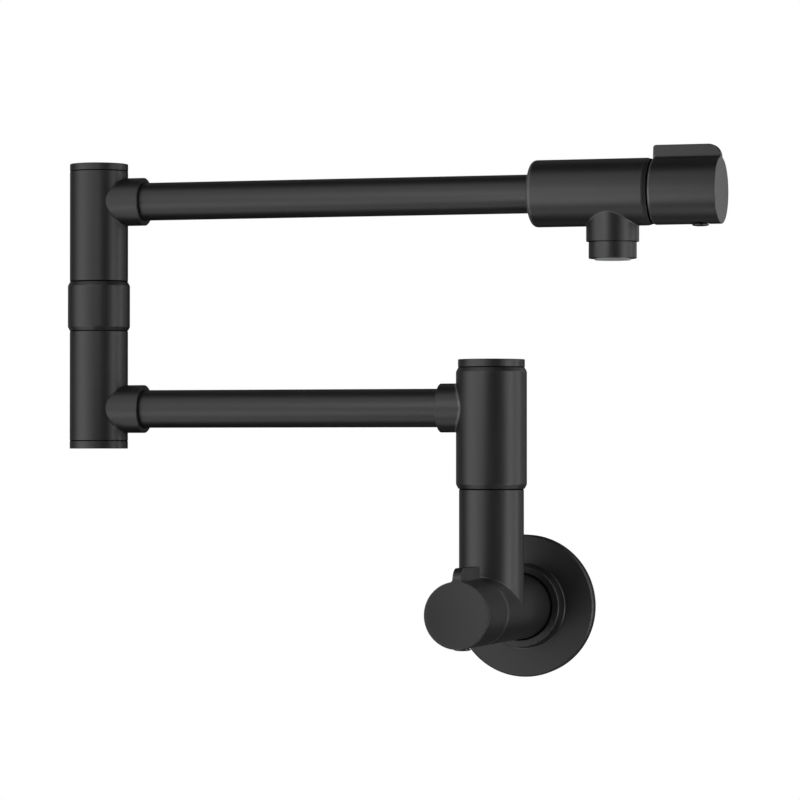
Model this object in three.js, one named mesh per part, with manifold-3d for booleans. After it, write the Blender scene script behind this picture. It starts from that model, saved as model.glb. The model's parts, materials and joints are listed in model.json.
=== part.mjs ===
// Wall mounted pot filler: a double-jointed folding tap, matt black.
// Millimetres, +Z up. The wall face is the plane Y = 0, the room is on the -Y side, and the origin is
// the centre of the wall flange. Shown folded: lower arm to -X, upper arm back to +X above it.
import * as THREE from "three";
import { mergeVertices } from "three/addons/utils/BufferGeometryUtils.js";
import Module from "manifold-3d";

const wasm = await Module();
wasm.setup();

// ---------------------------------------------------------------- driving dimensions
const COLUMN_Y = 69.27; // shoulder and elbow axes, distance from the wall
const LOWER_ARM = 210.25; // shoulder axis to elbow axis
const NOZZLE_AT = 272.62; // elbow axis to nozzle axis
const LOWER_ARM_Z = 101.32; // lower arm centre line above the flange centre
const UPPER_ARM_Z = 207.95; // upper arm centre line
const GAP = 0.15; // clearance between pieces that seat on each other

const FLANGE_R = 36.6, FLANGE_T = 6.6; // wall flange
const BOSS_BASE_R = 21.6, BOSS_R = 20.9, BOSS_END = 16.3; // its raised boss
const FLANGE_BORE_R = 17.3;
const BARREL_R = 16.55, BARREL_START = 1.5, BARREL_END = 96.0; // wall valve barrel, along the wall normal
const RISER_R = 16.22, RISER_TOP = 60.4;
const NIPPLE_R = 10.45, NIPPLE_BORE_R = 7.2, NIPPLE_OUT = 24.0; // half-inch inlet, behind the wall face

const HUB_R = 17.74, HUB_Z0 = 60.75, HUB_Z1 = 121.45; // shoulder hub
const HUB_CAP_R = 16.73, HUB_CAP_Z0 = 121.8, HUB_CAP_Z1 = 125.45;
const COLLAR_R = 12.24, HUB_COLLAR_END = 26.0, ELBOW_COLLAR_END = 25.05; // sockets the arm tubes enter
const TUBE_R = 9.69, TUBE_BORE_R = 8.2, TUBE_SEAT = 13.8; // tube ends sit this far from the column axes
const ELBOW_R = 14.98, ELBOW_SLEEVE_R = 15.98;
const ELBOW_CAP_Z0 = 80.96, ELBOW_Z0 = 85.2, ELBOW_Z1 = 141.4; // bottom cap and lower fitting
const SLEEVE_Z0 = 141.7, SLEEVE_Z1 = 167.0;
const UPPER_Z0 = 167.45, UPPER_Z1 = 223.9, TOP_CAP_Z0 = 224.2, TOP_CAP_Z1 = 227.63;

const SPOUT_R = 16.74, SPOUT_START = 232.4, SPOUT_END = 290.9; // spout valve barrel, from the elbow axis
const NECK_R = 13.15, NECK_Z = 183.5; // nozzle neck and its lower end
const AERATOR_R = 11.93, AERATOR_Z0 = 174.4, AERATOR_Z1 = 183.15;

const HANDLE_R = 16.53, HANDLE_START = 2.7, HANDLE_END = 36.75; // past the barrel's end face
const FIN_T = 4.3, FIN_TOP = 22.9, FIN_FRONT_R = 6.3, FIN_BACK_R = 1.5;
const SCREW_FROM_FACE = 10.55;
const TRIM_START = 0.3, TRIM_END = 2.35;
const SEAT = 33.2; // valve seat, inward from the barrel's end face

const FINE = 24, MID = 16, COARSE = 12; // facets round a circle

// ---------------------------------------------------------------- materials
const black = () => new THREE.MeshStandardMaterial({ color: 0x19191a, roughness: 0.42, metalness: 0.0 });
const brass = () => new THREE.MeshStandardMaterial({ color: 0xb08d3f, roughness: 0.35, metalness: 1.0 });
const steel = () => new THREE.MeshStandardMaterial({ color: 0x9a9a9c, roughness: 0.3, metalness: 1.0 });
const rubber = () => new THREE.MeshStandardMaterial({ color: 0x141414, roughness: 0.85, metalness: 0.0 });
const nylon = () => new THREE.MeshStandardMaterial({ color: 0xe6e3da, roughness: 0.5, metalness: 0.0 });
const ceramic = () => new THREE.MeshStandardMaterial({ color: 0xf1efe9, roughness: 0.2, metalness: 0.0 });
const greyPlastic = () => new THREE.MeshStandardMaterial({ color: 0x8f9294, roughness: 0.45, metalness: 0.0 });

// ---------------------------------------------------------------- solids
function solidOf(geometry, matrix) {
  const g = geometry.clone();
  for (const name of Object.keys(g.attributes)) if (name !== "position") g.deleteAttribute(name);
  if (matrix) g.applyMatrix4(matrix);
  const m = mergeVertices(g, 1e-4);
  const index = m.index.array, keep = [];
  for (let i = 0; i < index.length; i += 3) {
    const [a, b, c] = [index[i], index[i + 1], index[i + 2]];
    if (a !== b && b !== c && a !== c) keep.push(a, b, c);
  }
  return new wasm.Manifold(new wasm.Mesh({
    numProp: 3,
    vertProperties: new Float32Array(m.attributes.position.array),
    triVerts: new Uint32Array(keep),
  }));
}

// exact quarter turns, so that coaxial pieces keep their facets in line
const Y_TO_Z = new THREE.Matrix4().set(1, 0, 0, 0, 0, 0, -1, 0, 0, 1, 0, 0, 0, 0, 0, 1);
const Z_TO_X = new THREE.Matrix4().set(0, 0, 1, 0, 1, 0, 0, 0, 0, 1, 0, 0, 0, 0, 0, 1);
const move = (x, y, z) => new THREE.Matrix4().makeTranslation(x, y, z);

// a turned piece about Z: the profile is a list of [radius, z], closed on itself or on the axis
function turned(profile, segments = MID) {
  let area = 0;
  profile.forEach(([r, z], i) => {
    const [r2, z2] = profile[(i + 1) % profile.length];
    area += r * z2 - r2 * z;
  });
  let points = profile.map(([r, z]) => new THREE.Vector2(r, z));
  if (area < 0) points.reverse();
  const onAxis = points.some((p) => p.x === 0);
  if (onAxis) {
    // begin at the axis point that is followed by a point off the axis
    const n = points.length;
    const start = points.findIndex((p, i) => p.x === 0 && points[(i + 1) % n].x > 0);
    points = points.slice(start).concat(points.slice(0, start));
  } else points.push(points[0].clone());
  return solidOf(new THREE.LatheGeometry(points, segments), Y_TO_Z);
}
const rod = (r, z0, z1, segments) => turned([[0, z0], [r, z0], [r, z1], [0, z1]], segments);
const ring = (ri, ro, z0, z1, segments) => turned([[ri, z0], [ro, z0], [ro, z1], [ri, z1]], segments);
// a rod along +X or +Y, from a to b, through (x, y, z)
const rodX = (r, a, b, z, segments = MID) =>
  solidOf(new THREE.CylinderGeometry(r, r, b - a, segments), move((a + b) / 2, 0, z).multiply(Z_TO_X).multiply(Y_TO_Z));
const rodY = (r, a, b, z, segments = MID) =>
  solidOf(new THREE.CylinderGeometry(r, r, b - a, segments), move(0, (a + b) / 2, z));
function oRing(ri, ro, z, segments = MID) {
  const c = (ri + ro) / 2, s = (ro - ri) / 2, p = [];
  for (let i = 0; i < 6; i++) p.push([c + s * Math.cos(((i + 0.5) * Math.PI) / 3) / 0.866, z + s * 0.9 * Math.sin(((i + 0.5) * Math.PI) / 3)]);
  return turned(p, segments);
}
function hexNut(across, bore, z0, z1) {
  const s = new THREE.Shape();
  for (let i = 0; i < 6; i++) {
    const a = (i * Math.PI) / 3, x = across * Math.cos(a), y = across * Math.sin(a);
    if (i) s.lineTo(x, y); else s.moveTo(x, y);
  }
  s.closePath();
  const body = solidOf(new THREE.ExtrudeGeometry(s, { depth: z1 - z0, bevelEnabled: false }), move(0, 0, z0));
  return body.subtract(rod(bore, z0 - 1, z1 + 1, MID));
}

const root = new THREE.Group();
function piece(parent, name, solid, material) {
  const m = solid.getMesh(), n = m.numProp;
  const v = new Float32Array(m.numVert * 3);
  for (let i = 0; i < m.numVert; i++) v.set(m.vertProperties.subarray(i * n, i * n + 3), i * 3);
  const g = new THREE.BufferGeometry();
  g.setAttribute("position", new THREE.BufferAttribute(v, 3));
  g.setIndex(new THREE.BufferAttribute(new Uint32Array(m.triVerts), 1));
  g.computeVertexNormals();
  const mesh = new THREE.Mesh(g, material);
  mesh.name = name;
  parent.add(mesh);
  return mesh;
}

// ---------------------------------------------------------------- the groups
// wall valve: local z runs out of the wall (world -Y), local y is up
const wall = new THREE.Group();
wall.rotation.x = Math.PI / 2;
root.add(wall);
// shoulder and lower arm: origin on the shoulder axis, z is the height above the flange centre
const shoulder = new THREE.Group();
shoulder.position.set(0, -COLUMN_Y, 0);
root.add(shoulder);
const elbow = new THREE.Group();
elbow.position.x = -LOWER_ARM;
shoulder.add(elbow);
// spout valve: local z runs along the upper arm (world +X) from the elbow axis, local y is up
const spoutTurn = new THREE.Group();
spoutTurn.position.z = UPPER_ARM_Z;
spoutTurn.rotation.y = Math.PI / 2;
elbow.add(spoutTurn);
const spout = new THREE.Group();
spout.rotation.z = Math.PI / 2;
spoutTurn.add(spout);

// ---------------------------------------------------------------- wall flange and inlet
piece(wall, "wall_flange", turned([
  [FLANGE_BORE_R, 1.0], [BOSS_BASE_R, 1.0], [BOSS_BASE_R, 4.6], [33.7, 4.6], [33.7, 0], [FLANGE_R - 0.15, 0],
  [FLANGE_R + 0.1, FLANGE_T - 0.5], [FLANGE_R - 0.35, FLANGE_T], [BOSS_BASE_R, FLANGE_T],
  [BOSS_R, BOSS_END - 0.4], [BOSS_R - 0.35, BOSS_END], [FLANGE_BORE_R + 0.3, BOSS_END], [FLANGE_BORE_R, BOSS_END - 0.3],
  [FLANGE_BORE_R, 13.0], [18.9, 13.0], [18.9, 10.3], [FLANGE_BORE_R, 10.3],
], 32), black());
piece(wall, "flange_gasket", ring(22.4, 33.2, 0, 4.3, MID), rubber());
piece(wall, "flange_o_ring", oRing(16.8, 18.7, 11.65, FINE), rubber());
piece(wall, "inlet_nipple", turned([
  [NIPPLE_BORE_R, -NIPPLE_OUT], [NIPPLE_R - 0.9, -NIPPLE_OUT], [NIPPLE_R, -NIPPLE_OUT + 0.9], [NIPPLE_R, 15.3], [NIPPLE_BORE_R, 15.3],
], MID), brass());
piece(wall, "inlet_washer", ring(7.3, 10.35, 15.5, 17.2, COARSE), rubber());

// ---------------------------------------------------------------- wall valve body: barrel and riser in one
function valveBores(end, bodySolid) {
  return bodySolid
    .subtract(rod(11.2, end - SEAT, end - 12.0, MID))
    .subtract(rod(12.35, end - 12.15, end - 5.4, MID))
    .subtract(rod(14.2, end - 5.5, end + 1, FINE));
}
{
  let s = rod(BARREL_R, BARREL_START, BARREL_END, FINE).add(rodY(RISER_R, 0, RISER_TOP, COLUMN_Y, FINE));
  s = s.subtract(rod(10.75, 0, 17.4, MID)).subtract(rod(6.5, 17, BARREL_END - SEAT + 0.2, MID));
  s = valveBores(BARREL_END, s);
  s = s.subtract(rodY(6.3, 8, 46.7, COLUMN_Y, MID)).subtract(rodY(10.35, 46.5, 62, COLUMN_Y, MID));
  piece(wall, "valve_body", s, black());
}

// ---------------------------------------------------------------- the valve kit, one behind each handle
function sectorDisc(r, z0, z1) {
  // ceramic disc with two quarter windows
  let s = rod(r, z0, z1, MID);
  for (const side of [1, -1]) {
    const w = new THREE.Shape();
    const a0 = (side > 0 ? 0 : Math.PI) - 0.62, a1 = a0 + 1.24;
    w.moveTo(1.4 * Math.cos(a0), 1.4 * Math.sin(a0));
    for (let i = 0; i <= 5; i++) {
      const a = a0 + ((a1 - a0) * i) / 5;
      w.lineTo(5.4 * Math.cos(a), 5.4 * Math.sin(a));
    }
    w.lineTo(1.4 * Math.cos(a1), 1.4 * Math.sin(a1));
    w.closePath();
    s = s.subtract(solidOf(new THREE.ExtrudeGeometry(w, { depth: z1 - z0 + 2, bevelEnabled: false }), move(0, 0, z0 - 1)));
  }
  return s;
}
function valveKit(group, tag, end) {
  const at = (o) => end + o;
  piece(group, tag + "_trim_ring", turned([
    [9.0, at(-2.75)], [14.0, at(-2.75)], [14.0, at(TRIM_START)], [16.7, at(TRIM_START)], [16.2, at(TRIM_END)], [9.0, at(TRIM_END)],
  ], FINE), black());
  // ceramic cartridge: body with two side windows
  let body = turned([
    [4.25, at(7.5)], [4.25, at(-12.5)], [7.9, at(-12.5)], [7.9, at(-31)], [9.4, at(-31)], [9.4, at(-10.6)],
    [12.1, at(-10.6)], [12.1, at(-5.3)], [13.7, at(-5.3)], [13.7, at(-3.0)], [6.2, at(-3.0)], [6.2, at(7.5)],
  ], MID);
  body = body.subtract(solidOf(new THREE.BoxGeometry(11, 30, 5.6), move(0, 0, at(-16.2))));
  piece(group, tag + "_cartridge_body", body, brass());
  piece(group, tag + "_cartridge_o_ring", oRing(9.65, 11.0, at(-11.4)), rubber());
  piece(group, tag + "_fixed_disc", sectorDisc(7.65, at(-25.2), at(-22.2)), ceramic());
  piece(group, tag + "_moving_disc", sectorDisc(7.65, at(-22.0), at(-19.2)), ceramic());
  piece(group, tag + "_seat_seal", ring(5.2, 7.65, at(-33.05), at(-25.35), COARSE), rubber());
  // stem: drive plate, shaft and splined end
  const spline = new THREE.Shape();
  for (let i = 0; i < 32; i++) {
    const a = (i * Math.PI) / 16, r = i % 2 ? 3.35 : 3.75, x = r * Math.cos(a), y = r * Math.sin(a);
    if (i) spline.lineTo(x, y); else spline.moveTo(x, y);
  }
  spline.closePath();
  piece(group, tag + "_stem", turned([
    [0, at(-19.0)], [5.6, at(-19.0)], [5.6, at(-16.6)], [4.0, at(-16.6)], [4.0, at(7.3)], [0, at(7.3)],
  ], MID).add(solidOf(new THREE.ExtrudeGeometry(spline, { depth: 8.7, bevelEnabled: false }), move(0, 0, at(6.8)))), brass());
  piece(group, tag + "_stem_adapter", turned([
    [0, at(15.8)], [4.0, at(15.8)], [4.0, at(8.0)], [6.2, at(8.0)], [6.2, at(30.4)], [5.7, at(30.9)], [0, at(30.9)],
  ], MID), brass());
  // handle: a cap with a thin lever fin along its top
  const shell = turned([
    [0, at(HANDLE_START)], [HANDLE_R - 0.35, at(HANDLE_START)], [HANDLE_R, at(HANDLE_START + 0.35)],
    [HANDLE_R, at(HANDLE_END - 0.5)], [HANDLE_R - 0.5, at(HANDLE_END)], [0, at(HANDLE_END)],
  ], FINE);
  const fin = new THREE.Shape(), z0 = at(HANDLE_START), z1 = at(HANDLE_END);
  fin.moveTo(z0, 8);
  fin.lineTo(z1 - 0.02, 8);
  fin.lineTo(z1 - 0.02, FIN_TOP - FIN_FRONT_R);
  for (let i = 1; i <= 7; i++) {
    const a = (i * Math.PI) / 14;
    fin.lineTo(z1 - 0.02 - FIN_FRONT_R * (1 - Math.cos(a)), FIN_TOP - FIN_FRONT_R * (1 - Math.sin(a)));
  }
  for (let i = 1; i <= 4; i++) {
    const a = (i * Math.PI) / 8;
    fin.lineTo(z0 + FIN_BACK_R * (1 - Math.sin(a)), FIN_TOP - FIN_BACK_R * (1 - Math.cos(a)));
  }
  fin.closePath();
  const FIN_PLACE = new THREE.Matrix4().set(0, 0, -1, FIN_T / 2, 0, 1, 0, 0, 1, 0, 0, 0, 0, 0, 0, 1);
  let handle = shell.add(solidOf(new THREE.ExtrudeGeometry(fin, { depth: FIN_T, bevelEnabled: false }), FIN_PLACE));
  const screwZ = at(HANDLE_END - SCREW_FROM_FACE);
  handle = handle
    .subtract(rod(13.9, z0 - 1, z0 + 9.5, MID))
    .subtract(rod(6.5, z0 + 9, at(31.6), MID))
    .subtract(rodY(2.25, -14, -4, screwZ, COARSE))
    .subtract(rodY(4.45, -20, -12.4, screwZ, COARSE));
  piece(group, tag + "_handle", handle, black());
  piece(group, tag + "_handle_screw", rodY(2.0, -12.2, -6.6, screwZ, COARSE), steel());
  const plug = new THREE.LatheGeometry([[0, 12.7], [4.25, 12.7], [4.25, 17.3], [3.95, 17.6], [0, 17.6]].map(([r, y]) => new THREE.Vector2(r, y)), COARSE);
  piece(group, tag + "_handle_plug", solidOf(plug, new THREE.Matrix4().set(1, 0, 0, 0, 0, -1, 0, 0, 0, 0, -1, screwZ, 0, 0, 0, 1)), black());
}
valveKit(wall, "wall", BARREL_END);
valveKit(spout, "spout", SPOUT_END);

// ---------------------------------------------------------------- shoulder joint
{
  const cross = (s, z) => s.subtract(rodX(3.6, -12, 12, z, COARSE)).subtract(rodY(3.6, -12, 12, z, COARSE));
  let spindle = turned([
    [6.3, 47], [10.2, 47], [10.2, 60.2], [9.4, 60.2], [9.4, 86], [8.0, 86], [8.0, 88.4], [9.4, 88.4],
    [9.4, 112], [8.0, 112], [8.0, 114.4], [9.4, 114.4], [9.4, 116.6], [9.0, 116.6], [9.0, 121.2], [0, 121.2], [0, 107], [6.3, 107],
  ], MID);
  piece(shoulder, "shoulder_spindle", cross(spindle, LOWER_ARM_Z), brass());
  piece(shoulder, "shoulder_thrust_washer", ring(9.7, 14.15, 60.55, 62.4, MID), nylon());
  piece(shoulder, "shoulder_lower_o_ring", oRing(8.2, 9.55, 87.2), rubber());
  piece(shoulder, "shoulder_upper_o_ring", oRing(8.2, 9.55, 113.2), rubber());
  piece(shoulder, "shoulder_upper_washer", ring(9.25, 13.3, 117.05, 118.05, MID), nylon());
  piece(shoulder, "shoulder_nut", hexNut(13.2, 9.2, 118.2, 121.2), brass());

  let hub = turned([
    [0, HUB_Z0], [16.64, HUB_Z0], [HUB_R, HUB_Z0 + 2.4], [HUB_R, HUB_Z1 - 2.1], [HUB_CAP_R, HUB_Z1], [0, HUB_Z1],
  ], FINE).add(rodX(COLLAR_R, -HUB_COLLAR_END, 0, LOWER_ARM_Z, MID));
  hub = hub
    .subtract(rod(14.6, HUB_Z0 - 1, 62.6, MID)).subtract(rod(9.8, 60, 120, MID)).subtract(rod(12.6, 92.5, 110.2, MID))
    .subtract(rod(15.2, 116.9, HUB_Z1 + 1, FINE))
    .subtract(rodX(7.2, -15, 0, LOWER_ARM_Z, MID)).subtract(rodX(9.85, -HUB_COLLAR_END - 1, -TUBE_SEAT + 0.2, LOWER_ARM_Z, MID));
  piece(shoulder, "shoulder_hub", hub, black());
  piece(shoulder, "shoulder_cap", turned([
    [0, 123.4], [13.9, 123.4], [13.9, 118.4], [15.0, 118.4], [15.0, HUB_CAP_Z0], [HUB_CAP_R, HUB_CAP_Z0],
    [HUB_CAP_R, HUB_CAP_Z1 - 0.3], [HUB_CAP_R - 0.3, HUB_CAP_Z1], [0, HUB_CAP_Z1],
  ], FINE), black());

  const bar = (a, b, z) => rodX(TUBE_R, a, b, z, MID).subtract(rodX(TUBE_BORE_R, a - 1, b + 1, z, MID));
  piece(shoulder, "lower_arm_tube", bar(-LOWER_ARM + TUBE_SEAT, -TUBE_SEAT, LOWER_ARM_Z), black());

  // ---------------------------------------------------------------- elbow joint
  let low = rod(ELBOW_R, ELBOW_Z0, ELBOW_Z1, FINE).add(rodX(COLLAR_R, 0, ELBOW_COLLAR_END, LOWER_ARM_Z, MID));
  low = low
    .subtract(rod(12.1, ELBOW_Z0 - 1, 91.6, FINE)).subtract(rod(10.8, 91, 112, MID)).subtract(rod(6.5, 111, 125, MID))
    .subtract(rod(10.35, 124.5, ELBOW_Z1 + 1, MID))
    .subtract(rodX(7.2, 0, 15, LOWER_ARM_Z, MID)).subtract(rodX(9.85, TUBE_SEAT - 0.2, ELBOW_COLLAR_END + 1, LOWER_ARM_Z, MID));
  piece(elbow, "elbow_lower_fitting", low, black());
  piece(elbow, "elbow_bottom_cap", turned([
    [0, ELBOW_CAP_Z0], [ELBOW_R - 0.3, ELBOW_CAP_Z0], [ELBOW_R, ELBOW_CAP_Z0 + 0.3], [ELBOW_R, 84.9], [11.85, 84.9], [11.85, 91.0],
    [9.5, 91.0], [9.5, 83.6], [0, 83.6],
  ], FINE), black());
  piece(elbow, "elbow_sleeve", turned([
    [10.5, SLEEVE_Z0], [ELBOW_R, SLEEVE_Z0], [ELBOW_SLEEVE_R, SLEEVE_Z0 + 2.0], [ELBOW_SLEEVE_R, SLEEVE_Z1 - 2.2],
    [ELBOW_R, SLEEVE_Z1], [13.45, SLEEVE_Z1], [13.45, 159.8], [10.5, 159.8],
  ], FINE), black());
  spindle = turned([
    [6.0, 125], [10.2, 125], [10.2, 159.5], [8.6, 159.5], [8.6, 180], [7.2, 180], [7.2, 182.2], [8.6, 182.2],
    [8.6, 215.9], [7.2, 215.9], [7.2, 217.9], [8.6, 217.9], [8.6, 218.5], [8.2, 218.5], [8.2, 223.0], [0, 223.0], [0, 213.5], [6.0, 213.5],
  ], MID);
  piece(elbow, "elbow_spindle", cross(spindle, UPPER_ARM_Z), brass());
  piece(elbow, "elbow_thrust_washer", ring(8.85, 13.1, 160.0, 161.6, MID), nylon());
  piece(elbow, "elbow_lower_o_ring", oRing(7.4, 8.78, 181.1), rubber());
  piece(elbow, "elbow_upper_o_ring", oRing(7.4, 8.78, 216.9), rubber());
  piece(elbow, "elbow_upper_washer", ring(8.45, 11.4, 218.85, 219.75, MID), nylon());
  piece(elbow, "elbow_nut", hexNut(11.3, 8.4, 219.9, 222.9), brass());
  let up = turned([
    [0, 161.9], [13.1, 161.9], [13.1, UPPER_Z0], [ELBOW_R, UPPER_Z0], [ELBOW_R, UPPER_Z1], [0, UPPER_Z1],
  ], FINE).add(rodX(COLLAR_R, 0, ELBOW_COLLAR_END, UPPER_ARM_Z, MID));
  up = up
    .subtract(rod(9.0, 160, 219, MID)).subtract(rod(11.6, 198.5, 215, MID)).subtract(rod(13.1, 218.7, UPPER_Z1 + 1, FINE))
    .subtract(rodX(6.6, 0, 15, UPPER_ARM_Z, MID)).subtract(rodX(9.85, TUBE_SEAT - 0.2, ELBOW_COLLAR_END + 1, UPPER_ARM_Z, MID));
  piece(elbow, "elbow_upper_fitting", up, black());
  piece(elbow, "elbow_top_cap", turned([
    [0, 225.6], [11.85, 225.6], [11.85, 220.0], [12.85, 220.0], [12.85, TOP_CAP_Z0], [ELBOW_R, TOP_CAP_Z0],
    [ELBOW_R, TOP_CAP_Z1 - 0.3], [ELBOW_R - 0.3, TOP_CAP_Z1], [0, TOP_CAP_Z1],
  ], FINE), black());
  piece(elbow, "upper_arm_tube", bar(TUBE_SEAT, SPOUT_START + 14.7, UPPER_ARM_Z), black());
}

// ---------------------------------------------------------------- spout valve body and aerator
{
  const drop = UPPER_ARM_Z;
  const edge = [];
  for (let i = 0; i <= 3; i++) {
    const a = (i * Math.PI) / 6;
    edge.push([SPOUT_R - 1.5 * (1 - Math.sin(a)), SPOUT_START + 1.5 * (1 - Math.cos(a))]);
  }
  let s = turned([[0, SPOUT_START], ...edge, [SPOUT_R, SPOUT_END], [0, SPOUT_END]], FINE)
    .add(rodY(NECK_R, NECK_Z - drop, 0, NOZZLE_AT, FINE));
  s = s.subtract(rod(9.85, SPOUT_START - 1, SPOUT_START + 14.9, MID)).subtract(rod(6.5, SPOUT_START + 14, SPOUT_END - SEAT + 0.2, MID));
  s = valveBores(SPOUT_END, s);
  s = s.subtract(rodY(6.0, -18, -8, NOZZLE_AT, MID)).subtract(rodY(11.2, NECK_Z - drop - 1, 191.2 - drop, NOZZLE_AT, FINE));
  piece(spout, "spout_body", s, black());

  const nozzle = new THREE.Group();
  nozzle.position.x = NOZZLE_AT;
  elbow.add(nozzle);
  piece(nozzle, "aerator_housing", turned([
    [9.2, AERATOR_Z0], [AERATOR_R - 0.4, AERATOR_Z0], [AERATOR_R, AERATOR_Z0 + 0.4], [AERATOR_R, AERATOR_Z1], [11.0, AERATOR_Z1],
    [11.0, 189.6], [9.9, 189.6], [9.9, 175.2], [9.2, 175.2],
  ], FINE), black());
  // flow insert: a cup with a ring of through slots between spokes
  let insert = turned([[0, 173.6], [8.4, 173.6], [8.95, 174.1], [8.95, 175.4], [9.65, 175.4], [9.65, 188.9], [0, 188.9]], MID)
    .subtract(rod(8.2, 176.4, 190, MID));
  for (let i = 0; i < 8; i++) {
    const a = (i * Math.PI) / 4;
    insert = insert.subtract(solidOf(new THREE.CylinderGeometry(1.5, 1.5, 6, 8), move(5.2 * Math.cos(a), 5.2 * Math.sin(a), 175).multiply(Y_TO_Z)));
  }
  insert = insert.subtract(solidOf(new THREE.CylinderGeometry(1.7, 1.7, 6, 8), move(0, 0, 175).multiply(Y_TO_Z)));
  piece(nozzle, "aerator_insert", insert, greyPlastic());
  piece(nozzle, "aerator_washer", ring(7.2, 10.85, 189.75, 191.0, COARSE), rubber());
}

export default root;
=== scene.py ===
import json
import math

import bmesh
import bpy
import numpy as np
from mathutils import Matrix, Vector


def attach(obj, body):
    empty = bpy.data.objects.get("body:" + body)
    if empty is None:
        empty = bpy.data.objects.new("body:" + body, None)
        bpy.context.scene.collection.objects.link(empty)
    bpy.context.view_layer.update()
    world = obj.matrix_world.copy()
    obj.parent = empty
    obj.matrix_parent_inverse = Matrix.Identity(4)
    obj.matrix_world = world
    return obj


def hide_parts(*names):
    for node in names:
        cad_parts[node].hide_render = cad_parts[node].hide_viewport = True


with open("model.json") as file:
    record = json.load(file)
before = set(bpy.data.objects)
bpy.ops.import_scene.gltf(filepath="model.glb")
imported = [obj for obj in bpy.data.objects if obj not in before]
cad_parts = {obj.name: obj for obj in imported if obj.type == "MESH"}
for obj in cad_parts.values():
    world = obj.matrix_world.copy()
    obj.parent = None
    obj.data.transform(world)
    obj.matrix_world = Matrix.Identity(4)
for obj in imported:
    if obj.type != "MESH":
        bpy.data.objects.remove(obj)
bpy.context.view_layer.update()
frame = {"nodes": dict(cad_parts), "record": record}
nodes = frame["nodes"]

# ------------------------------------------------------------------ camera and colour
scene = bpy.context.scene
scene.view_settings.view_transform = "Standard"
scene.view_settings.look = "None"
scene.view_settings.exposure = 0.0
scene.view_settings.gamma = 1.0

cam_data = bpy.data.cameras.new("camera")
camera = bpy.data.objects.new("camera", cam_data)
scene.collection.objects.link(camera)
cam_data.sensor_width = 36.0
cam_data.sensor_fit = "HORIZONTAL"
cam_data.lens = 170.81
cam_data.shift_x = 0.0
cam_data.shift_y = 0.0
cam_data.clip_start = 0.05
cam_data.clip_end = 60.0
cam_data.dof.use_dof = False
RIGHT = Vector((0.95680214, 0.29073985, 0.0))
FORWARD = Vector((-0.29071452, 0.95671879, 0.01319962)).normalized()
UP = RIGHT.cross(FORWARD).normalized()
camera.matrix_world = Matrix((
    (RIGHT.x, UP.x, -FORWARD.x, 0.508078),
    (RIGHT.y, UP.y, -FORWARD.y, -1.898577),
    (RIGHT.z, UP.z, -FORWARD.z, 0.080187),
    (0, 0, 0, 1),
))
scene.camera = camera

# ------------------------------------------------------------------ dimensions, mm, as in the CAD
COLUMN_Y, LOWER_ARM, NOZZLE_AT = 69.27, 210.25, 272.62
LOWER_Z, UPPER_Z = 101.32, 207.95
AROUND = 128  # columns round a large cylinder


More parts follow.
